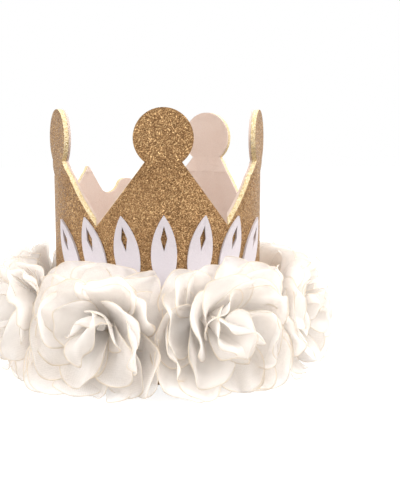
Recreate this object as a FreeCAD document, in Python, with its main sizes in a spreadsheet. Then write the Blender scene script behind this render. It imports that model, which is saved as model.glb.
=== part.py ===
# Flower-trimmed glitter crown for a small child's party, in millimetres.
# A strip of glitter sheet backed with felt is cut into five peaks and joined into a ring. Four peaks end in
# balls, and the one at the back left ends low, in a hollow between a point and a rounded end.
# Eight gathered chiffon flowers hide the lower band, and a white leaf spray stands behind them at the front.
# The frame stands on the band's lower edge: +Z is up, and the middle front peak looks along -Y.

import FreeCAD, Part
import math
import os

import Sketcher
from FreeCAD import Placement, Rotation, Vector

# Each row is an alias, its value and what it sizes. Lengths are in millimetres and angles in degrees.
SIZES = [
    ("crown_radius", 57.0, "outer radius of the glitter band"),
    ("glitter_thickness", 2.4, "thickness of the glitter sheet"),
    ("lining_thickness", 1.1, "thickness of the felt lining"),
    ("glue_gap", 0.1, "clearance left for glue between two layers"),
    ("crown_height", 139.5, "from the lower edge to the top of a ball"),
    ("valley_height", 80.0, "height of the V between two peaks"),
    ("bend_height", 104.0, "height above which a peak springs flat"),
    ("neck_height", 112.5, "height above which a peak is quite flat"),
    ("peak_pitch", 72.0, "angle between two peaks"),
    ("root_half_angle", 18.5, "half of the arc that a peak's blank springs from"),
    ("ball_radius", 15.0, "radius of the ball on a peak"),
    ("neck_half_width", 9.25, "half of the width under a ball"),
    ("trim_margin", 4.0, "what the cutting shapes reach past the material"),
    ("short_tip_reach", 10.0, "from the short peak's middle to its point"),
    ("short_tip_height", 107.6, "height of that point"),
    ("short_hollow_height", 93.0, "height where the hollow meets the point's edge"),
    ("short_hollow_width", 2.52, "radius of the hollow, in quarters of the line across it"),
    ("short_end_inner", 11.5, "from the short peak's middle to its rounded end"),
    ("short_end_outer", 20.2, "from the short peak's middle past that end"),
    ("short_end_height", 96.0, "height where the rounded end leaves the hollow"),
    ("short_end_rise", 2.5, "how much higher that end meets the slope"),
    ("short_end_width", 2.3, "radius of the rounded end, in quarters of the line across it"),
    ("flower_count", 8.0, "flowers round the band"),
    ("flower_turn", 20.0, "angle of the first flower from the front"),
    ("flower_seat_height", 34.0, "height of a flower's middle"),
    ("flower_radius", 40.0, "length of a petal from the flower's middle"),
    ("flower_stand_off", 7.5, "from the band to the point that the petals leave"),
    ("flower_half_height", 36.0, "half of the height that a flower is pressed into"),
    ("flower_gap", 1.0, "between the petals of two neighbouring flowers"),
    ("chiffon_thickness", 0.5, "thickness given to one layer of chiffon"),
    ("petal_sag", 6.0, "how far the outer end of a petal sinks under its own weight"),
    ("ruffle_angle", 6.0, "how far a petal's two edges sway apart"),
    ("cup_angle", 3.0, "how far both edges of a petal lean forward"),
    ("notch_depth", 8.0, "depth of the notch between two petals"),
    ("outer_opening", 84.0, "angle at which the outermost petals leave"),
    ("back_opening", 66.0, "angle at which the next petals leave"),
    ("front_opening", 46.0, "angle at which the third petals leave"),
    ("inner_opening", 26.0, "angle at which the inner petals leave"),
    ("stem_radius", 2.2, "radius of the gathers behind a flower's middle"),
    ("knot_radius", 3.0, "radius of a flower's gathered middle"),
    ("knot_thickness", 2.5, "thickness of that middle"),
    ("layer_gap", 0.6, "from the gathers to the edge of a layer"),
    ("backing_radius", 11.0, "radius of the felt disc behind a flower"),
    ("backing_thickness", 1.5, "thickness of that disc"),
    ("spray_thickness", 1.2, "thickness of the white leaf spray"),
    ("spray_foot_height", 46.5, "lower edge of the strip that joins the leaves"),
    ("spray_strip_height", 8.0, "height of that strip"),
    ("leaf_length", 40.0, "length of a leaf of the spray"),
    ("leaf_width", 13.0, "width of a leaf"),
    ("leaf_pitch", 15.5, "angle between two leaves"),
    ("leaf_lean", 9.0, "how much more each leaf leans than the one before"),
    ("slit_length", 13.0, "length of the slit in a leaf"),
    ("slit_width", 3.4, "width of that slit"),
    ("slit_inset", 5.2, "from that slit to the leaf's point"),
]
LEAVES_EACH_SIDE = 3
PEAK_FACETS = 3
GATHER_SIDES = 6
BACKING_SIDES = 12

# The chiffon layers of a flower, from the band outward: name, alias of the opening angle, petals, how much
# wider the angle is at the petals' ends, length beside flower_radius, turn about the flower's axis, and how
# many bands of facets lead from its middle to its edge.
LAYERS = [
    ("outer_petals", "outer_opening", 7, 7.0, 1.0, 0.0, 2),
    ("back_petals", "back_opening", 7, 6.0, 1.0, 26.0, 2),
    ("front_petals", "front_opening", 6, 3.0, 0.9, 8.0, 2),
    ("inner_petals", "inner_opening", 5, -3.0, 0.74, 45.0, 1),
]
STEPS_PER_PETAL = 3
PRESS_SHARPNESS = 6
TURN_BETWEEN_FLOWERS = 23.0

doc = FreeCAD.newDocument("flower_crown")
sheet = doc.addObject("Spreadsheet::Sheet", "sizes")
for row, (alias, value, meaning) in enumerate(SIZES, start=1):
    sheet.set("A%d" % row, meaning)
    sheet.set("B%d" % row, str(value))
    sheet.setAlias("B%d" % row, alias)
doc.recompute()
outputs = []


def size(alias):
    return float(sheet.get(alias))


def bind(item, **expressions):
    """Bind properties to the sheet. In an expression a sheet value is written with a leading dollar sign."""
    for name, text in expressions.items():
        item.setExpression(name.replace("__", "."), text.replace("$", sheet.Name + "."))


def turn_about_axis(item, angle_text):
    """Turn an item about the crown's axis by an angle that the sheet sets."""
    bind(item, Placement__Rotation__Angle=angle_text)


def keep(item, label):
    item.Label = label
    outputs.append(item)
    return item


def origin_plane(body, role):
    return next(item for item in body.Origin.OriginFeatures if item.Role == role)


def flat_sketch(body, name, height_text, angle_text):
    """A level sketch at a height, turned about the crown's axis."""
    sketch = body.newObject("Sketcher::SketchObject", name)
    sketch.AttachmentSupport = [(origin_plane(body, "XY_Plane"), "")]
    sketch.MapMode = "FlatFace"
    bind(sketch, AttachmentOffset__Base__z=height_text, AttachmentOffset__Rotation__Angle=angle_text)
    return sketch


def upright_sketch(body, name, angle_text):
    """An upright sketch through the crown's axis, turned about that axis: its x runs along the sheet."""
    sketch = body.newObject("Sketcher::SketchObject", name)
    sketch.AttachmentSupport = [(origin_plane(body, "XZ_Plane"), "")]
    sketch.MapMode = "FlatFace"
    sketch.AttachmentOffset = Placement(Vector(), Rotation(Vector(0, 1, 0), 1))
    bind(sketch, AttachmentOffset__Rotation__Angle=angle_text)
    return sketch


def bound_point(sketch, edge, end, name, x_text, y_text):
    """Hold one edge's end at a place that the sheet sets."""
    for axis, text in (("X", x_text), ("Y", y_text)):
        kind = "Distance" + axis
        point = sketch.getPoint(edge, end)
        value = point.x if axis == "X" else point.y
        index = sketch.addConstraint(Sketcher.Constraint(kind, -1, 1, edge, end, value))
        sketch.renameConstraint(index, name + axis)
        bind(sketch, **{"Constraints__" + name + axis: text})


def bound_radius(sketch, edge, name, text):
    radius = sketch.Geometry[edge].Radius
    index = sketch.addConstraint(Sketcher.Constraint("Radius", edge, radius))
    sketch.renameConstraint(index, name)
    bind(sketch, **{"Constraints__" + name: text})


def polygon(sketch, points, first_edge=0):
    """Add a closed run of straight edges through points in the plane, and join them."""
    ends = points[1:] + points[:1]
    for start, end in zip(points, ends):
        sketch.addGeometry(Part.LineSegment(Vector(*start), Vector(*end)), False)
    count = len(points)
    for edge in range(count):
        following = first_edge + (edge + 1) % count
        sketch.addConstraint(Sketcher.Constraint("Coincident", first_edge + edge, 2, following, 1))


def ring_sketch(sketch, outer_text, inner_text):
    for edge, (name, text) in enumerate((("outer", outer_text), ("inner", inner_text))):
        sketch.addGeometry(Part.Circle(Vector(), Vector(0, 0, 1), size("crown_radius") - edge), False)
        sketch.addConstraint(Sketcher.Constraint("Coincident", edge, 3, -1, 1))
        bound_radius(sketch, edge, name, text)


def sheet_value(text):
    """What an expression of sheet values comes to now."""
    return float(sheet.evalExpression(text.replace("$", "")))


def peak_section(sketch, outer_text, inner_text, flat):
    """A level section through a peak's blank in straight facets: bent to the ring, or flat and as wide as a ball."""
    shares = [2 * index / PEAK_FACETS - 1 for index in range(PEAK_FACETS + 1)]
    corners = [(share, outer_text) for share in shares] + [(share, inner_text) for share in reversed(shares)]
    texts = []
    for share, radius_text in corners:
        if flat:
            texts.append(("%g * ($ball_radius + $trim_margin)" % share, "-(%s)" % radius_text))
        else:
            angle_text = "%g * $root_half_angle" % share
            texts.append(("(%s) * sin(%s)" % (radius_text, angle_text),
                          "-(%s) * cos(%s)" % (radius_text, angle_text)))
    polygon(sketch, [(sheet_value(x_text), sheet_value(y_text), 0) for x_text, y_text in texts])
    for edge, (x_text, y_text) in enumerate(texts):
        bound_point(sketch, edge, 1, "corner%d_" % edge, x_text, y_text)


HALF_CHORD = "$crown_radius * sin($peak_pitch / 2)"


def trim_frame(sketch, right_edge):
    """Close an outline from its right valley over the top to its left valley, and bind the corners."""
    half = size("crown_radius") * math.sin(math.radians(size("peak_pitch") / 2))
    top = size("crown_height") + size("trim_margin")
    valley = size("valley_height")
    corners = [(half, valley, 0), (half, top, 0), (-half, top, 0), (-half, valley, 0)]
    for start, end in zip(corners[:-1], corners[1:]):
        sketch.addGeometry(Part.LineSegment(Vector(*start), Vector(*end)), False)
    top_text = "$crown_height + $trim_margin"
    bound_point(sketch, right_edge, 1, "valley_right", HALF_CHORD, "$valley_height")
    bound_point(sketch, right_edge + 1, 1, "top_right", HALF_CHORD, top_text)
    bound_point(sketch, right_edge + 2, 1, "top_left", "-(%s)" % HALF_CHORD, top_text)
    bound_point(sketch, right_edge + 2, 2, "valley_left", "-(%s)" % HALF_CHORD, "$valley_height")


def ball_outline(sketch):
    """All that is cut away round a peak with straight slopes and a ball."""
    half = size("crown_radius") * math.sin(math.radians(size("peak_pitch") / 2))
    valley = size("valley_height")
    radius = size("ball_radius")
    neck = size("neck_half_width")
    middle = size("crown_height") - radius
    neck_angle = math.asin(neck / radius)
    neck_z = middle - radius * math.cos(neck_angle)
    circle = Part.Circle(Vector(0, middle, 0), Vector(0, 0, 1), radius)
    sketch.addGeometry(Part.LineSegment(Vector(-half, valley, 0), Vector(-neck, neck_z, 0)), False)
    sketch.addGeometry(Part.ArcOfCircle(circle, neck_angle - math.pi / 2, 3 * math.pi / 2 - neck_angle), False)
    sketch.addGeometry(Part.LineSegment(Vector(neck, neck_z, 0), Vector(half, valley, 0)), False)
    trim_frame(sketch, 3)
    sketch.addConstraint(Sketcher.Constraint("Coincident", 0, 2, 1, 2))
    sketch.addConstraint(Sketcher.Constraint("Coincident", 1, 1, 2, 1))
    for edge in range(2, 5):
        sketch.addConstraint(Sketcher.Constraint("Coincident", edge, 2, edge + 1, 1))
    sketch.addConstraint(Sketcher.Constraint("Coincident", 5, 2, 0, 1))
    rise_text = "$ball_radius * cos(asin($neck_half_width / $ball_radius))"
    neck_text = "$crown_height - $ball_radius - %s" % rise_text
    bound_point(sketch, 0, 2, "neck_left", "-$neck_half_width", neck_text)
    bound_point(sketch, 2, 1, "neck_right", "$neck_half_width", neck_text)
    bound_radius(sketch, 1, "ball", "$ball_radius")


def arc_between(start, end, radius):
    """The shorter arc from start to end, turning to the left, with a radius of at least half the line across."""
    chord = end - start
    middle = (start + end) * 0.5
    reach = math.sqrt(radius ** 2 - (chord.Length / 2) ** 2)
    centre = middle + Vector(-chord.y, chord.x, 0).normalize() * reach
    circle = Part.Circle(centre, Vector(0, 0, 1), radius)
    angles = [math.atan2(spot.y - centre.y, spot.x - centre.x) for spot in (start, end)]
    return Part.ArcOfCircle(circle, angles[0], angles[1])


SHORT_END = "hypot($short_end_outer - $short_end_inner; $short_end_rise) / 4 * $short_end_width"
SHORT_HOLLOW = "hypot($short_end_inner; $short_end_height - $short_hollow_height) / 4 * $short_hollow_width"


def short_outline(sketch):
    """All that is cut away above the short peak: a rounded end, a hollow and a point."""
    half = size("crown_radius") * math.sin(math.radians(size("peak_pitch") / 2))
    valley = size("valley_height")
    end_z = size("short_end_height")
    outer_end = Vector(-size("short_end_outer"), end_z + size("short_end_rise"), 0)
    inner_end = Vector(-size("short_end_inner"), end_z, 0)
    hollow_end = Vector(0, size("short_hollow_height"), 0)
    tip = Vector(size("short_tip_reach"), size("short_tip_height"), 0)
    sketch.addGeometry(Part.LineSegment(Vector(-half, valley, 0), outer_end), False)
    sketch.addGeometry(arc_between(inner_end, outer_end, sheet_value(SHORT_END)), False)
    sketch.addGeometry(arc_between(inner_end, hollow_end, sheet_value(SHORT_HOLLOW)), False)
    sketch.addGeometry(Part.LineSegment(hollow_end, tip), False)
    sketch.addGeometry(Part.LineSegment(tip, Vector(half, valley, 0)), False)
    trim_frame(sketch, 5)
    joints = ((0, 2, 1, 2), (1, 1, 2, 1), (2, 2, 3, 1), (3, 2, 4, 1), (4, 2, 5, 1),
              (5, 2, 6, 1), (6, 2, 7, 1), (7, 2, 0, 1))
    for joint in joints:
        sketch.addConstraint(Sketcher.Constraint("Coincident", *joint))
    bound_point(sketch, 0, 2, "end_outer", "-$short_end_outer", "$short_end_height + $short_end_rise")
    bound_point(sketch, 2, 1, "end_inner", "-$short_end_inner", "$short_end_height")
    bound_point(sketch, 3, 1, "hollow_end", "0", "$short_hollow_height")
    bound_point(sketch, 4, 1, "tip", "$short_tip_reach", "$short_tip_height")
    bound_radius(sketch, 1, "end_round", SHORT_END)
    bound_radius(sketch, 2, "hollow", SHORT_HOLLOW)


def raised_peak(body, name, outer_text, inner_text):
    """The untrimmed blank of the front peak: it rises from the ring and flattens out towards its top."""
    root = flat_sketch(body, name + "_root", "$bend_height", "0")
    peak_section(root, outer_text, inner_text, False)
    slab = flat_sketch(body, name + "_slab", "$neck_height", "0")
    peak_section(slab, outer_text, inner_text, True)
    rise = body.newObject("PartDesign::AdditiveLoft", name + "_rise")
    rise.Profile = root
    rise.Sections = [slab]
    rise.Ruled = True
    top = body.newObject("PartDesign::Pad", name + "_top")
    top.Profile = slab
    bind(top, Length="$crown_height - $neck_height + $trim_margin / 2")
    return [rise, top]


def trim(body, name, angle_text, outline):
    """Cut the blank of one peak to its outline."""
    sketch = upright_sketch(body, name + "_outline", angle_text)
    outline(sketch)
    doc.recompute()
    before = body.Shape.Volume
    pocket = body.newObject("PartDesign::Pocket", name + "_trim")
    pocket.Profile = sketch
    pocket.Reversed = True
    bind(pocket, Length="$crown_radius + $trim_margin")
    doc.recompute()
    if body.Shape.Volume >= before:
        raise RuntimeError(name + " was not trimmed")
    return pocket


def polar_pattern(body, name, features, count, angle_text):
    """Repeat features about the crown's axis."""
    pattern = body.newObject("PartDesign::PolarPattern", name)
    pattern.Originals = features
    pattern.Axis = (origin_plane(body, "Z_Axis"), [""])
    pattern.Occurrences = count
    bind(pattern, Angle=angle_text)
    body.Tip = pattern
    doc.recompute()


def peaked_ring(label, outer_text, inner_text):
    """One sheet bent into a ring, with five peaks: four end in balls, and the short one is at the back left."""
    body = doc.addObject("PartDesign::Body", label)
    ring = flat_sketch(body, label + "_ring", "0", "0")
    ring_sketch(ring, outer_text, inner_text)
    band = body.newObject("PartDesign::Pad", label + "_band")
    band.Profile = ring
    bind(band, Length="$bend_height")
    doc.recompute()
    peaks = round(360 / size("peak_pitch"))
    blank = raised_peak(body, label + "_peak", outer_text, inner_text)
    polar_pattern(body, label + "_peaks", blank, peaks, "360")
    for number in range(-1, peaks - 2):
        trim(body, "%s_tall_%d" % (label, number + 2), "%d * $peak_pitch" % number, ball_outline)
    trim(body, label + "_short", "-2 * $peak_pitch", short_outline)
    return keep(body, label)


def cylinder(name, radius_text, height_text, base_text="0"):
    item = doc.addObject("Part::Cylinder", name)
    bind(item, Radius=radius_text, Height=height_text, Placement__Base__z=base_text)
    return item


def tube(name, outer_text, inner_text, height_text, base_text):
    """An upright tube about the crown's axis."""
    cut = doc.addObject("Part::Cut", name)
    cut.Base = cylinder(name + "_outer", outer_text, height_text, base_text)
    cut.Tool = cylinder(name + "_inner", inner_text, height_text, base_text)
    return cut


def pointed_oval(sketch, first_edge, name, foot_text, length_text, width_text):
    """Two arcs that meet in a point at each end, standing on the sketch's y axis."""
    foot, length, width = (sheet_value(text) for text in (foot_text, length_text, width_text))
    radius = (length ** 2 / 4 + width ** 2 / 4) / width
    low = Vector(0, foot, 0)
    high = Vector(0, foot + length, 0)
    sketch.addGeometry(arc_between(low, high, radius), False)
    sketch.addGeometry(arc_between(high, low, radius), False)
    sketch.addConstraint(Sketcher.Constraint("Coincident", first_edge, 2, first_edge + 1, 1))
    sketch.addConstraint(Sketcher.Constraint("Coincident", first_edge + 1, 2, first_edge, 1))
    bound_point(sketch, first_edge, 1, name + "_foot", "0", foot_text)
    bound_point(sketch, first_edge, 2, name + "_end", "0", "%s + %s" % (foot_text, length_text))
    radius_text = "((%s) ^ 2 + (%s) ^ 2) / 4 / (%s)" % (length_text, width_text, width_text)
    bound_radius(sketch, first_edge, name + "_right", radius_text)
    bound_radius(sketch, first_edge + 1, name + "_left", radius_text)


def leaf(number, sheet_layer):
    """One pointed leaf with a slit, cut from the sheet that lies on the crown, leaning away from the front."""
    sketch = doc.addObject("Sketcher::SketchObject", "leaf_outline_%d" % (number + LEAVES_EACH_SIDE + 1))
    pointed_oval(sketch, 0, "leaf", "0", "$leaf_length", "$leaf_width")
    middle_text = "$leaf_length - $slit_inset - $slit_length / 2"
    corners = (("0", middle_text + " - $slit_length / 2"), ("$slit_width / 2", middle_text),
               ("0", middle_text + " + $slit_length / 2"), ("-$slit_width / 2", middle_text))
    points = [(sheet_value(x_text), sheet_value(y_text), 0) for x_text, y_text in corners]
    polygon(sketch, points, 2)
    for edge, (x_text, y_text) in enumerate(corners):
        bound_point(sketch, edge + 2, 1, "slit%d_" % edge, x_text, y_text)
    turn = "placement(vector(0; 0; 0); rotation(vector(0; 0; 1); %d * $leaf_pitch))" % number
    stand = "placement(vector(0; -$crown_radius / 2; $spray_foot_height); rotation(vector(1; 0; 0); 90))"
    lean = "placement(vector(0; 0; 0); rotation(vector(0; 0; 1); %d * $leaf_lean))" % -number
    bind(sketch, Placement=" * ".join((turn, stand, lean)))
    prism = doc.addObject("Part::Extrusion", "leaf_prism_%d" % (number + LEAVES_EACH_SIDE + 1))
    prism.Base = sketch
    prism.DirMode = "Normal"
    prism.Solid = True
    bind(prism, LengthFwd="$crown_radius")
    cut = doc.addObject("Part::Common", "leaf_%d" % (number + LEAVES_EACH_SIDE + 1))
    cut.Base = prism
    cut.Tool = sheet_layer
    return cut


def leaf_spray():
    """A fan of leaves on one strip, lying on the front of the crown."""
    inner_text = "$crown_radius + $glue_gap"
    outer_text = inner_text + " + $spray_thickness"
    layer = tube("spray_layer", outer_text, inner_text, "$crown_height", "$spray_foot_height")
    strip = tube("spray_strip", outer_text, inner_text, "$spray_strip_height", "$spray_foot_height")
    span_text = "%d * $leaf_pitch + $leaf_width" % (2 * LEAVES_EACH_SIDE)
    for part in (strip.Base, strip.Tool):
        bind(part, Angle=span_text)
        turn_about_axis(part, "-90 - (%s) / 2" % span_text)
    fuse = doc.addObject("Part::MultiFuse", "leaf_spray")
    numbers = range(-LEAVES_EACH_SIDE, LEAVES_EACH_SIDE + 1)
    fuse.Shapes = [strip] + [leaf(number, layer) for number in numbers]
    return keep(fuse, "leaf_spray")


def press(value, limit):
    """Press a length softly under a limit, without changing its sign or order."""
    return value / (1 + abs(value / limit) ** PRESS_SHARPNESS) ** (1 / PRESS_SHARPNESS)


def pressed_between_neighbours(spot):
    """Where a point of a flower at the front comes to lie when its neighbours press it from both sides."""
    reach = math.hypot(spot.x, spot.y)
    half_gap = math.degrees(size("flower_gap") / 2 / size("crown_radius"))
    angle = math.degrees(math.atan2(spot.x, -spot.y))
    angle = math.radians(press(angle, 180 / size("flower_count") - half_gap))
    seat = size("flower_seat_height")
    height = seat + press(spot.z - seat, size("flower_half_height"))
    return Vector(reach * math.sin(angle), -reach * math.cos(angle), height)


def petal_spot(distance, opening, around, share):
    """A point at a distance and an opening angle from a front flower's axis, a share of the way to the edge."""
    middle = Vector(0, -size("crown_radius") - size("flower_stand_off"), size("flower_seat_height"))
    side = distance * math.sin(opening)
    forward = distance * math.cos(opening)
    sag = size("petal_sag") * (share * forward / size("flower_radius")) ** 2
    spot = middle + Vector(side * math.cos(around), -forward, side * math.sin(around) - sag)
    return pressed_between_neighbours(spot)


def chiffon_layer(petals, opening, flare, length, turn, bands):
    """One gathered layer of petals on a front flower, as a thin closed solid with a hole for the gathers."""
    thickness = size("chiffon_thickness")
    root = math.radians(opening)
    hole = size("stem_radius") + size("layer_gap") + thickness / 2
    start = hole / math.sin(root)
    steps = petals * STEPS_PER_PETAL
    spots = []
    for band in range(bands + 1):
        share = band / bands
        for face in (-1, 1):
            for step in range(steps):
                phase = step % STEPS_PER_PETAL / STEPS_PER_PETAL
                rim = length - size("notch_depth") * (1 - math.sqrt(math.sin(math.pi * phase)))
                distance = start + (rim - start) * share
                ruffle = size("ruffle_angle") * math.sin(2 * math.pi * phase)
                sway = math.radians(flare + ruffle - size("cup_angle") * math.cos(2 * math.pi * phase))
                offset = face * thickness / 2 / distance
                around = math.radians(turn) + 2 * math.pi * step / steps
                spots.append(petal_spot(distance, root + sway * share + offset, around, share))

    def corner(band, face, step):
        return (2 * band + face) * steps + step % steps

    triangles = []

    def quad(first, second, third, fourth):
        triangles.extend(((first, second, third), (first, third, fourth)))

    for step in range(steps):
        for band in range(bands):
            quad(corner(band, 0, step), corner(band + 1, 0, step),
                 corner(band + 1, 0, step + 1), corner(band, 0, step + 1))
            quad(corner(band, 1, step), corner(band, 1, step + 1),
                 corner(band + 1, 1, step + 1), corner(band + 1, 1, step))
        quad(corner(0, 0, step), corner(0, 0, step + 1), corner(0, 1, step + 1), corner(0, 1, step))
        quad(corner(bands, 0, step), corner(bands, 1, step),
             corner(bands, 1, step + 1), corner(bands, 0, step + 1))
    shell = Part.Shape()
    shell.makeShapeFromMesh((spots, triangles), thickness / 1000)
    solid = Part.makeSolid(Part.Shell(shell.Faces))
    if solid.Volume < 0:
        solid.reverse()
    return solid


def flower_angle_text(number):
    return "$flower_turn + %d * 360 / $flower_count" % number


def backing_disc(number):
    """The felt disc that holds a flower, cut with a few straight snips, standing on the band."""
    disc = doc.addObject("Part::Prism", "backing_%d" % number)
    disc.Polygon = BACKING_SIDES
    bind(disc, Circumradius="$backing_radius", Height="$backing_thickness")
    turn = "placement(vector(0; 0; 0); rotation(vector(0; 0; 1); %s))" % flower_angle_text(number)
    seat = "vector(0; -$crown_radius - $glue_gap; $flower_seat_height)"
    bind(disc, Placement="%s * placement(%s; rotation(vector(1; 0; 0); 90))" % (turn, seat))
    return keep(disc, "flower_%d_backing" % number)


def gathers(number):
    """The bunched middle that the chiffon layers are stitched round, with its knot."""
    start_text = "$backing_thickness + 2 * $glue_gap"
    knot_text = "$flower_stand_off + ($knot_radius + $layer_gap + $chiffon_thickness) / tan($inner_opening)"
    stem = doc.addObject("Part::Prism", "stem_%d" % number)
    bind(stem, Circumradius="$stem_radius", Height="%s - (%s)" % (knot_text, start_text),
         Placement__Base__z=start_text)
    knot = doc.addObject("Part::Prism", "knot_%d" % number)
    bind(knot, Circumradius="$knot_radius", Height="$knot_thickness", Placement__Base__z=knot_text)
    for item in (stem, knot):
        item.Polygon = GATHER_SIDES
    fuse = doc.addObject("Part::Fuse", "gathers_%d" % number)
    fuse.Base = stem
    fuse.Tool = knot
    turn = "placement(vector(0; 0; 0); rotation(vector(0; 0; 1); %s))" % flower_angle_text(number)
    seat = "vector(0; -$crown_radius; $flower_seat_height)"
    bind(fuse, Placement="%s * placement(%s; rotation(vector(1; 0; 0); 90))" % (turn, seat))
    return keep(fuse, "flower_%d_gathers" % number)


def flower(number):
    """A backing disc, the gathered middle and the chiffon layers round it."""
    backing_disc(number)
    gathers(number)
    for name, opening, petals, flare, share, turn, bands in LAYERS:
        item = doc.addObject("Part::Feature", "%s_%d" % (name, number))
        turned = turn + number * TURN_BETWEEN_FLOWERS
        length = size("flower_radius") * share
        item.Shape = chiffon_layer(petals, size(opening), flare, length, turned, bands)
        angle = size("flower_turn") + number * 360 / size("flower_count")
        item.Placement = Placement(Vector(), Rotation(Vector(0, 0, 1), angle))
        keep(item, "flower_%d_%s" % (number, name))


def check_document():
    doc.recompute()
    for item in doc.Objects:
        if "Invalid" in item.State or "Error" in item.State:
            raise RuntimeError("%s failed: %s" % (item.Name, item.State))
    for item in outputs:
        if item.Shape.isNull() or not item.Shape.isValid():
            raise RuntimeError("%s has no valid shape" % item.Label)


GLITTER_INNER = "$crown_radius - $glitter_thickness"
LINING_OUTER = GLITTER_INNER + " - $glue_gap"
peaked_ring("glitter_crown", "$crown_radius", GLITTER_INNER)
peaked_ring("felt_lining", LINING_OUTER, LINING_OUTER + " - $lining_thickness")
leaf_spray()
for flower_number in range(round(size("flower_count"))):
    flower(flower_number + 1)
check_document()
os.makedirs("parts", exist_ok=True)
for output in outputs:
    output.Shape.exportStep("parts/%s.step" % output.Label)
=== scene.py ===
# Looks of a flower-trimmed glitter crown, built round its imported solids.
# The glitter ring, felt lining, white leaf spray, flower backings and gathers are the solids themselves with
# worked finishes. Each gathered layer of chiffon is modelled petal by petal in place of its plain solid.

import math
import random

import bmesh
import bpy
from mathutils import Matrix, Vector, noise


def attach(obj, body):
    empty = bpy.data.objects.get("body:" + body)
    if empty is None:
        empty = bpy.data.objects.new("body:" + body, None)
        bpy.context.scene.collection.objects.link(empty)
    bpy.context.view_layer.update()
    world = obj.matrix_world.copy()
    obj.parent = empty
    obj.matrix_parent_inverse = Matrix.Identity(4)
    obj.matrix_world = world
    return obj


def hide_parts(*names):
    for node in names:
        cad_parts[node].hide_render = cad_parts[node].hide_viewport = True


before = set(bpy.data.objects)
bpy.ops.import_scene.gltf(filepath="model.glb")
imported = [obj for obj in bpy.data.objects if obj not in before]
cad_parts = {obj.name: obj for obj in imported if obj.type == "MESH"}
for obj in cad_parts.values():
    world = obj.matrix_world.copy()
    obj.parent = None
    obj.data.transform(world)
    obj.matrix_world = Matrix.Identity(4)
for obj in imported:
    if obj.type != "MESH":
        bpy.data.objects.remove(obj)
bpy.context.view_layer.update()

bl_info = {
    "name": "Flower-trimmed glitter crown",
    "version": (1, 0, 0),
    "blender": (4, 5, 0),
    "location": "View3D > Sidebar > Crown",
    "description": "Dresses a packed glitter crown with felt, chiffon flowers and a studio stage",
    "category": "Object",
}

FLOWERS = 8
FLOWER_PITCH = 360 / FLOWERS

# The chiffon layers of a flower from the band outward, as the solids have them: name, petals, opening
# angle, flare towards the ends, length beside a whole petal, turn about the flower's axis, and how round it
# is cupped.
LAYERS = (
    ("outer_petals", 7, 84.0, 7.0, 1.0, 0.0, 0.7),
    ("back_petals", 7, 66.0, 6.0, 1.0, 26.0, 0.9),
    ("front_petals", 6, 46.0, 3.0, 0.92, 8.0, 1.15),
    ("inner_petals", 5, 26.0, -3.0, 0.74, 45.0, 1.4),
)
LAYER_NUMBERS = {layer[0]: place for place, layer in enumerate(LAYERS)}
TURN_BETWEEN_FLOWERS = 23.0

# Petals tucked into the corners between two flowers: angle about the flower's axis, opening angle, flare
# towards the end and length beside a whole petal. TUCKED_REACH is how far they go past their flower's arc.
TUCKED = {
    "outer_petals": ((-33.0, 80.0, 6.0, 1.1), (-147.0, 80.0, 6.0, 1.08), (36.0, 78.0, 4.0, 1.0),
                     (144.0, 78.0, 2.0, 1.02)),
    "back_petals": ((-40.0, 76.0, 4.0, 1.1), (-140.0, 76.0, 4.0, 1.12), (24.0, 66.0, -12.0, 0.95)),
    "front_petals": ((-14.0, 68.0, -22.0, 1.04), (166.0, 66.0, -20.0, 1.02), (-160.0, 72.0, -24.0, 1.02)),
}
TUCKED_REACH = 1.7

# The least and the most of what differs from petal to petal. Length, width, twist and reach are shares of
# the whole, flare and around are in degrees, bends in radians to the metre and the lip in metres. The opening
# is a share of a looseness in degrees, which is larger for the short petals of the middle.
RANGES = {
    "length": (0.94, 1.06),
    "width": (0.88, 1.14),
    "opening": (-1.2, 0.8),
    "flare": (-14, 12),
    "twist": (0.5, 1.6),
    "root_bend": (50, 110),
    "tip_bend": (10, 45),
    "phase": (0, 2 * math.pi),
    "waves": (0.7, 1.7),
    "lip": (-0.0015, 0.0045),
    "reach": (1.06, 1.4),
    "crease": (0, 9),
    "around": (-7, 7),
}
SHORT_PETAL = 0.8
SHORT_LOOSENESS = 24
LOOSENESS = 8

# How far a petal may lean on its neighbours: a wide one, opened past WIDE_OPENING radians, leans further.
# It may also stand above the others by HIGH_SHARE, and PAST_LIMIT of an opening beyond that is kept.
WIDE_OPENING = 1.3
WIDE_ROOM = 1.6
ROOM = 1.2
HIGH_SHARE = 1.12
PAST_LIMIT = 0.1

ROOT_WIDTH = 0.26
PETAL_COLUMNS = 18
PETAL_ROWS = 22
CREASES = 120
CREASE_DEPTH = 0.0005
CRUMPLES = 38
CRUMPLE_STEP = 7.3
CLOTH_STEP = 0.05
CENTIMETRES = 100

# The band and the table hold the petals off by a little. The higher a sharpness, the closer a petal comes to
# its limit before it bends.
BAND_RADIUS = 0.057
BAND_CLEARANCE = 0.0022
TABLE_CLEARANCE = 0.0006
SHARPNESS = {"spread": 12, "side": 3.5, "rise": 4, "drop": 9}

CAMERA_PLACE = (-0.02367, -0.48392, 0.1254)
CAMERA_PITCH = 82.5
CAMERA_HEADING = -5.58
CROWN_MIDDLE = (0, 0, 0.06)

# Name of the lamp and of its power's setting, place, what it aims at, size and tint.
LAMPS = (
    ("key", (0.66, -0.32, 0.76), CROWN_MIDDLE, 0.6, (1.0, 0.996, 0.988)),
    ("fill", (-0.82, -0.42, 0.52), CROWN_MIDDLE, 0.9, (0.985, 0.99, 1.0)),
    ("back", (0.25, 0.75, 0.75), (0, 0, 0.08), 0.8, (1.0, 0.992, 0.98)),
)
FLOOR_HALF_SIZE = 3.0
FLOOR_HEIGHT = -0.0002
FLOOR_LIT = (0.2, 0.165, 0.135, 1)
FLOOR_SEEN = (0.4, 0.4, 0.4, 1)
FLOOR_GLOW = 0.82


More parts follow.
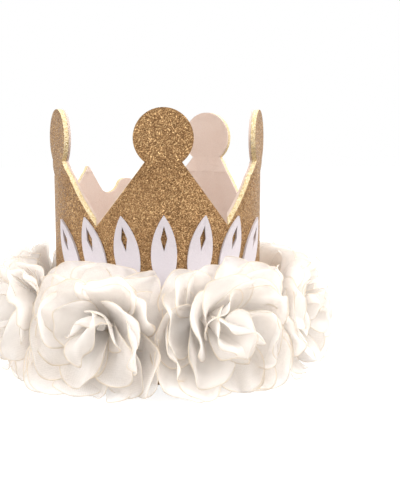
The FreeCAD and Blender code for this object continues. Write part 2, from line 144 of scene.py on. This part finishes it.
class Number:
    """A number inside a material, so that shader sums read as plain Python."""

    def __init__(self, finish, socket):
        self.finish = finish
        self.socket = socket

    def sum(self, operation, first, second=0.0, third=0.0):
        node = self.finish.node("ShaderNodeMath", {"operation": operation}, {0: first, 1: second, 2: third})
        return Number(self.finish, node.outputs[0])

    def __add__(self, other):
        return self.sum("ADD", self, other)

    __radd__ = __add__

    def __sub__(self, other):
        return self.sum("SUBTRACT", self, other)

    def __rsub__(self, other):
        return self.sum("SUBTRACT", other, self)

    def __mul__(self, other):
        return self.sum("MULTIPLY", self, other)

    __rmul__ = __mul__

    def __truediv__(self, other):
        return self.sum("DIVIDE", self, other)

    def __pow__(self, other):
        return self.sum("POWER", self, other)

    def __abs__(self):
        return self.sum("ABSOLUTE", self)

    def sine(self):
        return self.sum("SINE", self)

    def step(self, low, high):
        """From 0 at low to 1 at high, smoothly."""
        node = self.finish.node("ShaderNodeMapRange", {"interpolation_type": "SMOOTHSTEP"},
                                {"Value": self, "From Min": low, "From Max": high})
        return Number(self.finish, node.outputs[0])


class Finish:
    """A material under construction: its node tree and one way to add a node."""

    def __init__(self, name):
        self.material = bpy.data.materials.new(name)
        self.material.use_nodes = True
        self.tree = self.material.node_tree
        self.tree.nodes.clear()
        self.output = self.node("ShaderNodeOutputMaterial")

    def node(self, kind, settings=None, inputs=None):
        """Add a node. Settings come first; a ramp's are its stops, as pairs of position and colour."""
        node = self.tree.nodes.new(kind)
        for name, value in (settings or {}).items():
            if name == "stops":
                ramp = node.color_ramp.elements
                while len(ramp) < len(value):
                    ramp.new(0.5)
                for element, (position, colour) in zip(ramp, value):
                    element.position = position
                    element.color = (*colour, 1.0)
            else:
                setattr(node, name, value)
        for name, value in (inputs or {}).items():
            socket = node.inputs[name]
            value = value.socket if isinstance(value, Number) else value
            if isinstance(value, bpy.types.NodeSocket):
                self.tree.links.new(value, socket)
            elif hasattr(value, "__len__") and socket.type == "RGBA" and len(value) == 3:
                socket.default_value = (*value, 1.0)
            else:
                socket.default_value = value
        return node

    def number(self, node, output=0):
        return Number(self, node.outputs[output])

    def place(self):
        """Object coordinates in metres."""
        return self.node("ShaderNodeTexCoord").outputs["Object"]

    def blend_colours(self, factor, first, second):
        node = self.node("ShaderNodeMix", {"data_type": "RGBA"}, {"Factor": factor, 6: first, 7: second})
        return node.outputs[2]

    def ramp(self, factor, *stops):
        return self.node("ShaderNodeValToRGB", {"stops": stops}, {"Fac": factor}).outputs["Color"]

    def grain(self, scale, detail=3.0, place=None):
        node = self.node("ShaderNodeTexNoise", {"noise_dimensions": "3D"},
                         {"Vector": place or self.place(), "Scale": scale, "Detail": detail})
        return self.number(node, "Fac")

    def bump(self, height, distance, strength=1.0, normal=None):
        inputs = {"Height": height, "Distance": distance, "Strength": strength}
        if normal is not None:
            inputs["Normal"] = normal
        return self.node("ShaderNodeBump", {}, inputs).outputs["Normal"]

    def surface(self, shader):
        self.tree.links.new(shader, self.output.inputs["Surface"])
        return self.material


def colour(red, green, blue):
    """A colour as it is seen on a screen, from 0 to 255 a channel, made linear for a shader."""
    def linear(value):
        value /= 255
        return value / 12.92 if value <= 0.04045 else ((value + 0.055) / 1.055) ** 2.4
    return linear(red), linear(green), linear(blue)


def cut_edge_mask(finish):
    """1 on the sheet's cut edges and 0 on its two faces, which look towards or away from the crown's axis."""
    place = finish.place()
    flat = finish.node("ShaderNodeVectorMath", {"operation": "MULTIPLY"}, {0: place, 1: (1, 1, 0)}).outputs[0]
    outward = finish.node("ShaderNodeVectorMath", {"operation": "NORMALIZE"}, {0: flat}).outputs[0]
    normal = finish.node("ShaderNodeNewGeometry").outputs["Normal"]
    facing = finish.node("ShaderNodeVectorMath", {"operation": "DOT_PRODUCT"}, {0: outward, 1: normal})
    return 1 - abs(finish.number(facing, "Value")).step(0.45, 0.8)


def glitter_finish(settings):
    """Gold glitter: hexagonal flakes at random tilts over a brown ground, with a pale foam edge whose cream
    colour is partly the foam's own and partly a painted highlight for the light from behind.
    """
    finish = Finish("gold_glitter_sheet")
    place = finish.place()
    flakes = finish.node("ShaderNodeTexVoronoi", {"feature": "F1"},
                         {"Vector": place, "Scale": 1 / settings.flake})
    fine = finish.node("ShaderNodeTexVoronoi", {"feature": "F1"},
                       {"Vector": place, "Scale": 1.7 / settings.flake})
    chance = finish.node("ShaderNodeSeparateColor", {}, {"Color": flakes.outputs["Color"]})
    small_chance = finish.node("ShaderNodeSeparateColor", {}, {"Color": fine.outputs["Color"]})
    tone = finish.number(chance, "Red") * 0.62 + finish.number(small_chance, "Green") * 0.38
    cloud = finish.grain(70.0)
    tone = tone + (cloud - 0.5) * 0.16
    gold = finish.ramp(tone, (0.1, colour(100, 70, 43)), (0.36, colour(135, 102, 67)),
                       (0.6, colour(164, 127, 87)), (0.8, colour(196, 158, 110)),
                       (0.95, colour(240, 207, 156)))
    edge = cut_edge_mask(finish)
    # The cut edges' colour: the foam core's own cream, made paler still as a painted highlight that stands in
    # for the light from behind.
    foam_and_painted_backlight = finish.ramp(tone, (0.1, colour(214, 188, 134)), (0.5, colour(236, 214, 168)),
                       (0.9, colour(252, 241, 212)))
    tilt = finish.node("ShaderNodeVectorMath", {"operation": "SUBTRACT"},
                       {0: flakes.outputs["Color"], 1: (0.5, 0.5, 0.5)}).outputs[0]
    lean = finish.node("ShaderNodeVectorMath", {"operation": "SCALE"}, {0: tilt, "Scale": 0.9}).outputs[0]
    normal = finish.node("ShaderNodeNewGeometry").outputs["Normal"]
    tipped = finish.node("ShaderNodeVectorMath", {"operation": "ADD"}, {0: normal, 1: lean}).outputs[0]
    tipped = finish.node("ShaderNodeVectorMath", {"operation": "NORMALIZE"}, {0: tipped}).outputs[0]
    rough = finish.number(chance, "Blue") * 0.25 + 0.3 + edge * 0.3
    shader = finish.node("ShaderNodeBsdfPrincipled", {}, {
        "Base Color": finish.blend_colours(edge, gold, foam_and_painted_backlight),
        "Metallic": (1 - edge) * (finish.number(chance, "Green") * 0.35 + 0.1),
        "Roughness": rough, "Specular IOR Level": 0.12, "Normal": tipped})
    return finish.surface(shader.outputs[0])


def felt_finish(name, main, shade, pale, fuzz=0.00022):
    """Pressed felt: tangled short fibres, slightly blotchy, with a soft pale bloom."""
    finish = Finish(name)
    place = finish.place()
    fibres = finish.node("ShaderNodeTexWave", {"wave_type": "BANDS", "bands_direction": "DIAGONAL"},
                         {"Vector": place, "Scale": 420.0, "Distortion": 22.0, "Detail": 4.0,
                          "Detail Scale": 2.2, "Detail Roughness": 0.7})
    threads = finish.number(fibres, "Fac")
    blotch = finish.grain(60.0, 4.0)
    pile = finish.grain(1900.0, 2.0)
    mixed = finish.blend_colours((blotch * 0.55 + threads * 0.2 + pile * 0.25).step(0.3, 0.7), shade, main)
    bloom = finish.blend_colours(pile.step(0.62, 0.8) * 0.5, mixed, pale)
    shader = finish.node("ShaderNodeBsdfPrincipled", {}, {
        "Base Color": bloom, "Roughness": 0.85 + threads * 0.12, "Sheen Weight": 0.35,
        "Sheen Roughness": 0.5, "Normal": finish.bump(threads * 0.6 + pile * 0.8 + blotch * 0.5, fuzz)})
    return finish.surface(shader.outputs[0])


def chiffon_finish(settings):
    """Sheer chiffon: a plain weave of fine crimped threads, a cream raw edge, and light coming through."""
    finish = Finish("ivory_chiffon_cloth")
    cloth = finish.node("ShaderNodeUVMap", {"uv_map": "cloth"}).outputs["UV"]
    parts = finish.node("ShaderNodeSeparateXYZ", {}, {"Vector": cloth})
    across, along = finish.number(parts, "X"), finish.number(parts, "Y")
    waver = finish.grain(9.0, 3.0, cloth)
    turns = 2 * math.pi * settings.threads
    warp = (across * turns + waver * 6.0).sine()
    weft = (along * turns + waver * 5.0).sine()
    weave = warp * weft * 0.5 + 0.5
    rib = (across * (turns / 6.3) + waver * 9.0).sine() * 0.5 + 0.5
    edge = finish.node("ShaderNodeAttribute", {"attribute_name": "edge"})
    inward = finish.number(edge, "Fac")
    hem = 1 - inward.step(0.0002, settings.hem)
    cloud = finish.grain(2.6, 3.0, cloth)
    body = finish.blend_colours(cloud.step(0.3, 0.7), tuple(settings.petal_shade), tuple(settings.petal))
    cream = finish.blend_colours(hem * 0.8, body, tuple(settings.petal_edge))
    depth = inward.step(0.0, 0.013)
    sheer = settings.cover + depth * 0.5 + (weave - 0.5) * 0.2 + (rib - 0.5) * 0.08 + hem * 0.3
    height = weave * 0.6 + rib * 0.4
    shader = finish.node("ShaderNodeBsdfPrincipled", {}, {
        "Base Color": cream, "Roughness": 0.62 + weave * 0.12, "Sheen Weight": 0.25,
        "Sheen Roughness": 0.4, "Specular IOR Level": 0.3, "Alpha": sheer,
        "Normal": finish.bump(height, 0.00005)})
    through = finish.node("ShaderNodeBsdfTranslucent", {}, {"Color": (*settings.through, 1.0)})
    mixed = finish.node("ShaderNodeMixShader", {},
                        {0: settings.glow, 1: shader.outputs[0], 2: through.outputs[0]})
    return finish.surface(mixed.outputs[0])


def thread_finish(settings):
    """The bunched chiffon of a flower's middle: tight pleats that run from the band outward."""
    finish = Finish("gathered_chiffon")
    place = finish.place()
    pleats = finish.grain(900.0, 3.0)
    folds = finish.number(finish.node("ShaderNodeTexVoronoi", {"feature": "F1"},
                                      {"Vector": place, "Scale": 700.0}), "Distance")
    tint = finish.blend_colours((pleats * 0.5 + folds * 0.6).step(0.25, 0.75), tuple(settings.petal),
                                tuple(settings.petal_shade))
    shader = finish.node("ShaderNodeBsdfPrincipled", {}, {
        "Base Color": tint, "Roughness": 0.7 + pleats * 0.1, "Sheen Weight": 0.2,
        "Normal": finish.bump(pleats + folds, 0.0004)})
    return finish.surface(shader.outputs[0])


class CrownFinish(bpy.types.PropertyGroup):
    """Sizes and colours of the glitter, the felts and the chiffon."""
    flake: bpy.props.FloatProperty(name="Flake", description="Size of one glitter flake", default=0.00047,
                                   min=0.0002, unit="LENGTH")
    petal: bpy.props.FloatVectorProperty(name="Petal", description="Colour of the chiffon", subtype="COLOR",
                                         default=colour(254, 253, 252), min=0, max=1)
    petal_shade: bpy.props.FloatVectorProperty(name="Petal shade", subtype="COLOR",
                                               description="Duller patches of the chiffon",
                                               default=colour(252, 250, 248), min=0, max=1)
    petal_edge: bpy.props.FloatVectorProperty(name="Petal edge", description="Cream of the raw edges",
                                              subtype="COLOR", default=colour(234, 209, 164), min=0, max=1)
    through: bpy.props.FloatVectorProperty(name="Light through", subtype="COLOR",
                                           description="Tint of light that passes a petal",
                                           default=colour(254, 251, 248), min=0, max=1)
    glow: bpy.props.FloatProperty(name="Glow", description="Share of light that comes through a petal",
                                  default=0.44, min=0, max=1)
    cover: bpy.props.FloatProperty(name="Cover", default=0.24, min=0, max=1,
                                   description="How far one face of the chiffon hides what is behind")
    threads: bpy.props.FloatProperty(name="Threads", description="Thread pairs in a centimetre of chiffon",
                                     default=9.0, min=1)
    hem: bpy.props.FloatProperty(name="Raw edge", description="Width of a petal's cream edge", default=0.0009,
                                 min=0.0002, unit="LENGTH")


class PetalShape(bpy.types.PropertyGroup):
    """How the chiffon petals are cut and how they fall."""
    length: bpy.props.FloatProperty(name="Length", description="From a flower's middle to a petal's end",
                                    default=0.041, unit="LENGTH")
    width: bpy.props.FloatProperty(name="Width", description="Width of a petal at its widest", default=0.036,
                                   unit="LENGTH")
    thickness: bpy.props.FloatProperty(name="Thickness", description="Thickness of the cloth",
                                       default=0.00024, unit="LENGTH")
    stand_off: bpy.props.FloatProperty(name="Stand-off", default=0.0645, unit="LENGTH",
                                       description="From the crown's axis to a flower's middle")
    seat: bpy.props.FloatProperty(name="Seat", description="Height of a flower's middle", default=0.034,
                                  unit="LENGTH")
    first_turn: bpy.props.FloatProperty(name="First turn", default=math.radians(20), subtype="ANGLE",
                                        description="Angle of the last flower from the front")
    stem: bpy.props.FloatProperty(name="Stem", description="From a flower's axis to the start of a petal",
                                  default=0.0027, unit="LENGTH")
    twist: bpy.props.FloatProperty(name="Twist", default=math.radians(16), subtype="ANGLE",
                                   description="How far a petal turns about its own middle line")
    ruffle: bpy.props.FloatProperty(name="Ruffle", description="Height of the waves in a petal's edge",
                                    default=0.0022, unit="LENGTH")
    crumple: bpy.props.FloatProperty(name="Crumple", default=0.0034, unit="LENGTH",
                                     description="How far whole flowers are pushed out of shape")
    sag: bpy.props.FloatProperty(name="Sag", description="How far a petal's end sinks under its own weight",
                                 default=0.006, unit="LENGTH")
    corner: bpy.props.FloatProperty(name="Corner length", default=0.15, min=0,
                                    description="How much longer the slanting petals are")
    table_opening: bpy.props.FloatProperty(name="Table opening", default=math.radians(47), subtype="ANGLE",
                                           description="Opening that the table gives a hanging petal's end")
    rise: bpy.props.FloatProperty(name="Rise", default=0.0305, unit="LENGTH",
                                  description="Height that the petals keep under, above the middle")
    lift: bpy.props.FloatProperty(name="Lift", description="How much higher the flowers at the front stand",
                                  default=0.0065, unit="LENGTH")
    spread: bpy.props.FloatProperty(name="Spread", default=0.0415, unit="LENGTH",
                                    description="How far the petals stand off the band at most")
    drop: bpy.props.FloatProperty(name="Drop", default=0.0345, unit="LENGTH",
                                  description="Depth that the petals keep above, under the middle")
    half_angle: bpy.props.FloatProperty(name="Half angle", description="Half of the arc that a flower fills",
                                        default=math.radians(22.2), subtype="ANGLE")
    seed: bpy.props.IntProperty(name="Seed", description="Start of the petals' irregularity", default=4, min=1)


class StageSettings(bpy.types.PropertyGroup):
    """Camera and light."""
    lens: bpy.props.FloatProperty(name="Lens", description="Focal length in millimetres", default=62.28)
    key: bpy.props.FloatProperty(name="Key", description="Power of the soft light at the right", default=9.4)
    fill: bpy.props.FloatProperty(name="Fill", description="Power of the soft light at the left", default=7.0)
    back: bpy.props.FloatProperty(name="Back", description="Power of the light behind", default=5.0)
    ambient: bpy.props.FloatProperty(name="Ambient", default=0.7,
                                     description="Strength of the light all round")


def settings():
    scene = bpy.context.scene
    return scene.crown_finish, scene.crown_petals, scene.crown_stage


def dress(node, material):
    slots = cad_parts[node].data.materials
    if len(slots) == 0:
        raise RuntimeError("%s has no material slot" % node)
    for index in range(len(slots)):
        slots[index] = material


def press(value, limit, sharpness):
    """Press a length softly under a limit, without changing its sign or order."""
    return value / (1 + abs(value / limit) ** sharpness) ** (1 / sharpness)


class Petal:
    """One petal's own measures, in the frame of a flower that looks along -Y."""

    def __init__(self, chance, shape, around, opening, flare, length, cup, rise):
        self.shape = shape
        self.around = around
        self.rise = rise

        def between(name):
            return chance.uniform(*RANGES[name])

        hanging = max(0.0, -math.sin(around)) ** 0.8
        self.length = shape.length * length * between("length")
        self.length *= 1 + shape.corner * math.sin(2 * around) ** 2 * (0.3 + 0.7 * hanging)
        self.half_width = shape.width / 2 * (0.55 + 0.45 * length) * between("width")
        loose = SHORT_LOOSENESS if length < SHORT_PETAL else LOOSENESS
        self.opening = self.held_opening(math.radians(opening + between("opening") * loose))
        self.flare = math.radians(flare + between("flare"))
        self.flare -= max(0.0, self.opening - shape.table_opening) * hanging
        self.twist = shape.twist * between("twist")
        self.root_bend = cup * between("root_bend")
        self.tip_bend = chance.choice((-1, 1, 1)) * between("tip_bend")
        self.phase = between("phase")
        self.waves = between("waves")
        self.lip = between("lip")
        self.limit = shape.half_angle * between("reach")
        self.offset = Vector((between("crease"), between("crease"), between("crease")))

    def held_opening(self, opening):
        """A petal that would run far into the next flower or above the others stands up instead."""
        shape = self.shape
        sideways = abs(math.cos(self.around)) * self.length
        spread = math.tan(shape.half_angle)
        size = math.hypot(sideways, self.length * spread)
        share = WIDE_ROOM if opening > WIDE_OPENING else ROOM
        room = min(1.0, shape.stand_off * spread * share / size)
        side_limit = math.atan2(self.length * spread, sideways) + math.asin(room)
        upright = abs(math.sin(self.around)) * self.length
        high_limit = math.asin(min(1.0, self.rise * HIGH_SHARE / max(upright, 1e-6)))
        if room == 1.0:
            side_limit = math.pi
        if upright <= self.rise * HIGH_SHARE or math.sin(self.around) < 0:
            high_limit = math.pi
        limit = min(side_limit, high_limit)
        return min(opening, limit + PAST_LIMIT * max(0.0, opening - limit))

    def flat(self, x, y):
        """Across and along the petal as it was cut, from a place on a square grid from -1 to 1."""
        across = x * math.sqrt(1 - y * y / 2)
        along = (y * math.sqrt(1 - x * x / 2) + 1) / 2
        width = self.half_width * (ROOT_WIDTH + (1 - ROOT_WIDTH) * math.sin(math.pi / 2 * along ** 0.75))
        return across * width, along

    def spot(self, x, y):
        shape = self.shape
        side, along = self.flat(x, y)
        distance = shape.stem / math.sin(max(self.opening, 0.2)) * 0.9 + (self.length - shape.stem) * along
        opening = self.opening + self.flare * along ** 2
        outward = Vector((math.cos(self.around), 0, math.sin(self.around)))
        round_it = Vector((-math.sin(self.around), 0, math.cos(self.around)))
        forward = Vector((0, -1, 0))
        middle = outward * (distance * math.sin(opening)) + forward * (distance * math.cos(opening))
        inward = forward * math.sin(opening) - outward * math.cos(opening)
        twist = self.twist * (0.25 + 0.75 * along)
        width_way = round_it * math.cos(twist) + inward * math.sin(twist)
        depth_way = inward * math.cos(twist) - round_it * math.sin(twist)
        bend = self.root_bend * (1 - along) + self.tip_bend * along + 1e-3
        ripple = shape.ruffle * along ** 2 * math.sin(self.waves * math.pi * x + self.phase)
        lip = self.lip * max(0.0, along - 0.55) ** 2 / 0.2
        spot = (middle + width_way * (math.sin(bend * side) / bend)
                + depth_way * ((1 - math.cos(bend * side)) / bend + ripple - lip))
        crease = noise.noise_vector(spot * CREASES + self.offset) * CREASE_DEPTH * along
        sag = shape.sag * (along * spot.y / shape.length) ** 2
        return spot + crease - Vector((0, 0, sag))


def flower_push(spot, shape, number, limit, rise):
    """Where a point of a flower at the front comes to lie when its neighbours and the table press on it."""
    shift = Vector((number * CRUMPLE_STEP, 0, 0))
    spot = spot + noise.noise_vector(spot * CRUMPLES + shift) * shape.crumple
    spot = spot + Vector((0, -shape.stand_off, 0))
    spot.y = min(spot.y, -BAND_RADIUS - BAND_CLEARANCE)
    off_band = math.hypot(spot.x, spot.y) - BAND_RADIUS
    reach = BAND_RADIUS + press(off_band, shape.spread, SHARPNESS["spread"])
    angle = press(math.atan2(spot.x, -spot.y), limit, SHARPNESS["side"])
    above = spot.z > 0
    height = press(spot.z, rise if above else shape.drop, SHARPNESS["rise" if above else "drop"])
    height = max(TABLE_CLEARANCE, shape.seat + height)
    return Vector((reach * math.sin(angle), -reach * math.cos(angle), height))


def chiffon_layer(number, name, petals, opening, flare, length, turn, cup, shape, cloth):
    """One gathered layer of a flower, cut as separate petals that lie over one another."""
    mesh = bmesh.new()
    cloth_map = mesh.loops.layers.uv.new("cloth")
    edge_layer = mesh.verts.layers.float.new("edge")
    chance = random.Random(shape.seed * 1000 + number * 10 + LAYER_NUMBERS[name])
    flower_turn = shape.first_turn + math.radians(number * FLOWER_PITCH)
    turn_back = Matrix.Rotation(flower_turn, 3, "Z")
    rise = shape.rise + shape.lift * max(0.0, math.cos(flower_turn)) ** 4
    cut_area = 0.0
    rows = [(turn + number * TURN_BETWEEN_FLOWERS + 360 * (index + 0.5) / petals, opening, flare, length)
            for index in range(petals)]
    rows.extend(TUCKED.get(name, ()))
    for index, (around, opening, flare, share) in enumerate(rows):
        around = math.radians(around + chance.uniform(*RANGES["around"]))
        petal = Petal(chance, shape, around, opening, flare, share, cup, rise)
        if index >= petals:
            petal.limit = shape.half_angle * TUCKED_REACH
        grid = bmesh.ops.create_grid(mesh, x_segments=PETAL_COLUMNS, y_segments=PETAL_ROWS, size=1)["verts"]
        places = {}
        for vertex in grid:
            x, y = vertex.co.x, vertex.co.y
            side, along = petal.flat(x, y)
            places[vertex] = (side, along * petal.length)
            away = 1 - math.hypot(x * math.sqrt(1 - y * y / 2), y * math.sqrt(1 - x * x / 2))
            vertex[edge_layer] = away * petal.half_width
            vertex.co = turn_back @ flower_push(petal.spot(x, y), shape, number, petal.limit, rise)
        faces = {face for vertex in grid for face in vertex.link_faces}
        for face in faces:
            corners = [places[loop.vert] for loop in face.loops]
            crossed = (a[0] * b[1] - b[0] * a[1] for a, b in zip(corners, corners[1:] + corners[:1]))
            cut_area += abs(sum(crossed)) / 2 * (1 - shape.stem / petal.length)
            for loop in face.loops:
                side, along = places[loop.vert]
                loop[cloth_map].uv = ((side + index * CLOTH_STEP) * CENTIMETRES,
                                      (along + number * CLOTH_STEP) * CENTIMETRES)
    data = bpy.data.meshes.new("chiffon_%d_%s" % (number, name))
    bmesh.ops.recalc_face_normals(mesh, faces=mesh.faces)
    mesh.to_mesh(data)
    mesh.free()
    data.shade_smooth()
    piece = bpy.data.objects.new(data.name, data)
    bpy.context.scene.collection.objects.link(piece)
    data.materials.append(cloth)
    thick = piece.modifiers.new("cloth thickness", "SOLIDIFY")
    thick.thickness = shape.thickness
    thick.offset = 0
    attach(piece, "root")
    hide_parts("flower_%d_%s" % (number, name))
    strip = (shape.width * len(rows), shape.length * length)
    cut_area = min(cut_area, strip[0] * strip[1])


class CROWN_OT_glitter_ring(bpy.types.Operator):
    """Give the peaked ring its gold glitter"""
    bl_idname = "crown.glitter_ring"
    bl_label = "Glitter ring"

    def execute(self, context):
        dress("glitter_crown", glitter_finish(settings()[0]))
        return {"FINISHED"}


class CROWN_OT_felt_pieces(bpy.types.Operator):
    """Give the lining, the leaf spray and the flower backings their felt"""
    bl_idname = "crown.felt_pieces"
    bl_label = "Felt pieces"

    def execute(self, context):
        dress("felt_lining", felt_finish("blush_felt_sheet", colour(250, 228, 214), colour(240, 214, 198),
                                         colour(255, 240, 228)))
        white = felt_finish("white_felt_sheet", colour(232, 226, 232), colour(223, 216, 223),
                            colour(243, 239, 243), 0.00012)
        dress("leaf_spray", white)
        for number in range(1, FLOWERS + 1):
            dress("flower_%d_backing" % number, white)
        return {"FINISHED"}


class CROWN_OT_gathers(bpy.types.Operator):
    """Give the bunched middles of the flowers their pleated chiffon"""
    bl_idname = "crown.gathers"
    bl_label = "Gathers"

    def execute(self, context):
        bunched = thread_finish(settings()[0])
        for number in range(1, FLOWERS + 1):
            dress("flower_%d_gathers" % number, bunched)
        return {"FINISHED"}


class CROWN_OT_chiffon_flowers(bpy.types.Operator):
    """Model the chiffon petals of every flower"""
    bl_idname = "crown.chiffon_flowers"
    bl_label = "Chiffon flowers"

    def execute(self, context):
        finish, petals = settings()[:2]
        noise.seed_set(petals.seed)
        cloth = chiffon_finish(finish)
        for number in range(1, FLOWERS + 1):
            for layer in LAYERS:
                chiffon_layer(number, *layer, petals, cloth)
        return {"FINISHED"}


def soft_lamp(name, place, aim, size, power, tint):
    data = bpy.data.lights.new(name, "AREA")
    data.shape = "DISK"
    data.size = size
    data.energy = power
    data.color = tint
    lamp = bpy.data.objects.new(name, data)
    lamp.location = place
    lamp.rotation_euler = (Vector(aim) - Vector(place)).to_track_quat("-Z", "Y").to_euler()
    bpy.context.scene.collection.objects.link(lamp)


def white_to_the_eye(tree):
    """1 where the camera, a reflection or a clear material looks, and 0 for the light itself."""
    path = tree.nodes.new("ShaderNodeLightPath")
    looks = path.outputs["Is Camera Ray"]
    for output in ("Is Glossy Ray", "Is Transmission Ray"):
        most = tree.nodes.new("ShaderNodeMath")
        most.operation = "MAXIMUM"
        tree.links.new(looks, most.inputs[0])
        tree.links.new(path.outputs[output], most.inputs[1])
        looks = most.outputs[0]
    return looks


class CROWN_OT_stage(bpy.types.Operator):
    """Set the camera, the lights, the white background and the floor"""
    bl_idname = "crown.stage"
    bl_label = "Stage"

    def execute(self, context):
        stage = settings()[2]
        scene = context.scene
        data = bpy.data.cameras.new("camera")
        data.lens = stage.lens
        data.sensor_width = 36
        data.clip_start = 0.01
        camera = bpy.data.objects.new("camera", data)
        camera.location = CAMERA_PLACE
        camera.rotation_euler = (math.radians(CAMERA_PITCH), 0, math.radians(CAMERA_HEADING))
        scene.collection.objects.link(camera)
        scene.camera = camera
        scene.view_settings.view_transform = "Standard"

        world = bpy.data.worlds.new("studio")
        scene.world = world
        world.use_nodes = True
        tree = world.node_tree
        tree.nodes.clear()
        looks = white_to_the_eye(tree)
        seen = tree.nodes.new("ShaderNodeBackground")
        seen.inputs["Color"].default_value = (1, 1, 1, 1)
        lit = tree.nodes.new("ShaderNodeBackground")
        lit.inputs["Color"].default_value = (*colour(255, 252, 249), 1)
        lit.inputs["Strength"].default_value = stage.ambient
        either = tree.nodes.new("ShaderNodeMixShader")
        out = tree.nodes.new("ShaderNodeOutputWorld")
        tree.links.new(looks, either.inputs[0])
        tree.links.new(lit.outputs[0], either.inputs[1])
        tree.links.new(seen.outputs[0], either.inputs[2])
        tree.links.new(either.outputs[0], out.inputs["Surface"])

        mesh = bmesh.new()
        bmesh.ops.create_grid(mesh, x_segments=4, y_segments=4, size=FLOOR_HALF_SIZE)
        bmesh.ops.translate(mesh, verts=mesh.verts, vec=(0, 0, FLOOR_HEIGHT))
        data = bpy.data.meshes.new("floor")
        mesh.to_mesh(data)
        mesh.free()
        floor = bpy.data.objects.new("floor", data)
        scene.collection.objects.link(floor)
        pale = Finish("white_floor")
        warm = pale.node("ShaderNodeBsdfDiffuse", {}, {"Color": FLOOR_LIT})
        matt = pale.node("ShaderNodeBsdfDiffuse", {}, {"Color": FLOOR_SEEN})
        lift = pale.node("ShaderNodeEmission", {}, {"Color": (1, 1, 1, 1), "Strength": FLOOR_GLOW})
        both = pale.node("ShaderNodeAddShader", {}, {0: matt.outputs[0], 1: lift.outputs[0]})
        looks = white_to_the_eye(pale.tree)
        either = pale.node("ShaderNodeMixShader", {}, {0: looks, 1: warm.outputs[0], 2: both.outputs[0]})
        data.materials.append(pale.surface(either.outputs[0]))

        for name, place, aim, size, tint in LAMPS:
            soft_lamp(name, place, aim, size, getattr(stage, name), tint)
        return {"FINISHED"}


class CROWN_PT_panel(bpy.types.Panel):
    """The crown's settings and steps"""
    bl_idname = "CROWN_PT_panel"
    bl_label = "Crown"
    bl_space_type = "VIEW_3D"
    bl_region_type = "UI"
    bl_category = "Crown"

    def draw(self, context):
        for group in settings():
            box = self.layout.box()
            for name in group.bl_rna.properties.keys():
                if name not in ("rna_type", "name"):
                    box.prop(group, name)
        for step in STEPS:
            self.layout.operator(step.bl_idname)


STEPS = (CROWN_OT_glitter_ring, CROWN_OT_felt_pieces, CROWN_OT_gathers, CROWN_OT_chiffon_flowers,
         CROWN_OT_stage)
GROUPS = ((CrownFinish, "crown_finish"), (PetalShape, "crown_petals"), (StageSettings, "crown_stage"))


def register():
    for group, name in GROUPS:
        bpy.utils.register_class(group)
        setattr(bpy.types.Scene, name, bpy.props.PointerProperty(type=group))
    for step in STEPS:
        bpy.utils.register_class(step)
    bpy.utils.register_class(CROWN_PT_panel)


def unregister():
    bpy.utils.unregister_class(CROWN_PT_panel)
    for step in reversed(STEPS):
        bpy.utils.unregister_class(step)
    for group, name in reversed(GROUPS):
        delattr(bpy.types.Scene, name)
        bpy.utils.unregister_class(group)


def main():
    register()
    bpy.ops.crown.glitter_ring()
    bpy.ops.crown.felt_pieces()
    bpy.ops.crown.gathers()
    bpy.ops.crown.chiffon_flowers()
    bpy.ops.crown.stage()
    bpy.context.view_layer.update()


if __name__ == "__main__":
    main()
